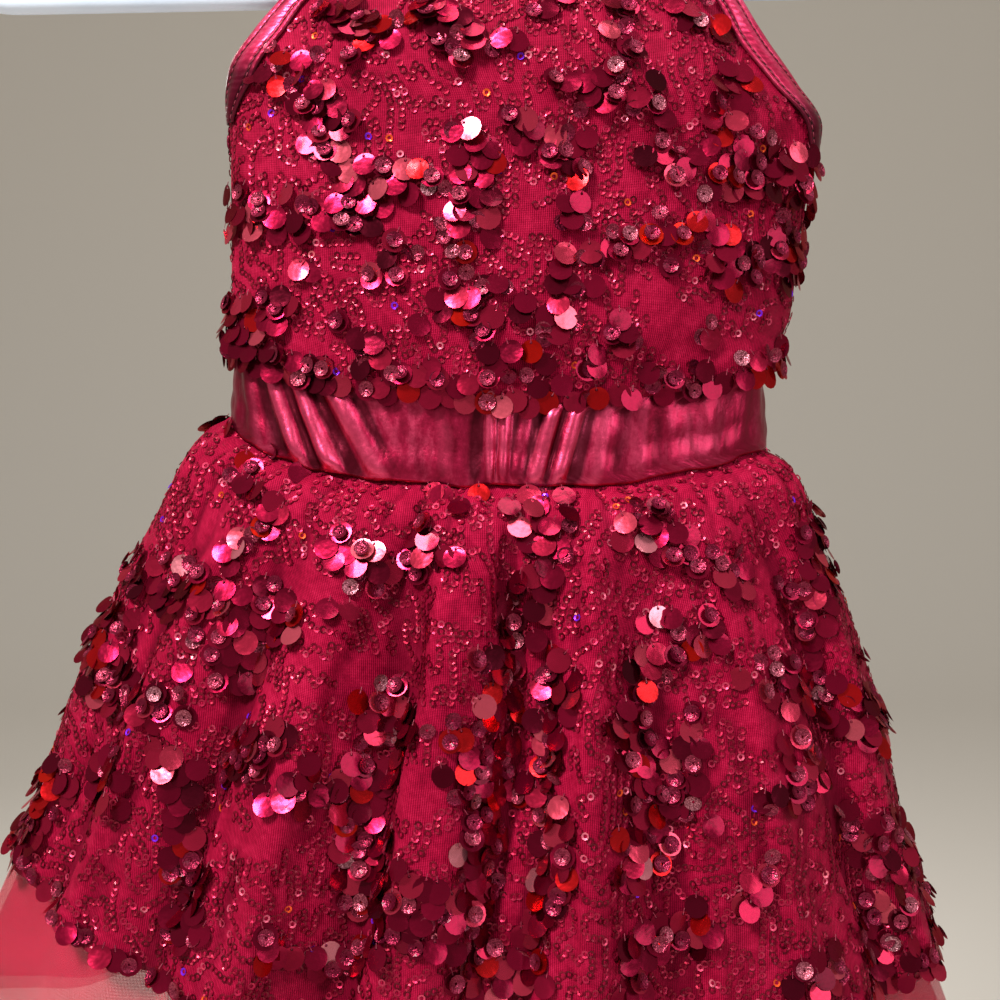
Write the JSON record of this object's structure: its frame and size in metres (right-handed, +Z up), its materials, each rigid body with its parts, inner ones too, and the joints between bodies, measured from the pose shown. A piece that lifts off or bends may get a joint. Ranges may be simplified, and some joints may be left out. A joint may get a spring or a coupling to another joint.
{
  "type": "sequined halter dance dress on a tubular hanger",
  "caption": "Empty halter dance dress with a sequined bodice, foil waistband, gathered sequined skirt and net underskirt, hung on a plain tubular hanger.",
  "frame": {"origin": "top of the inside of the hanger's hook, where it rests on a rail", "axes": "+Z up; the dress's front faces -Y; +X is to the right as seen from the front"},
  "size_m": [0.4427, 0.1312, 0.6531],
  "materials": {
    "hanger_plastic": "smooth moulded plastic, slightly glossy",
    "sequin_cloth": "knitted mesh sewn all over with shiny sequins",
    "binding": "foil-printed stretch strip, stitched",
    "foil_cloth": "metallic foil stretch cloth, creased",
    "net": "soft sheer net"
  },
  "bodies": {
    "root": {"hanger": "hanger_plastic", "bodice_front": "sequin_cloth", "bodice_back": "sequin_cloth", "armhole_binding_left": "binding", "armhole_binding_right": "binding", "neck_binding": "binding", "back_binding": "binding", "neck_strap": "binding", "waistband_front": "foil_cloth", "waistband_back": "foil_cloth", "skirt_front": "sequin_cloth", "skirt_back": "sequin_cloth", "net_upper_layer": "net", "net_lower_layer": "net"}
  },
  "joints": []
}
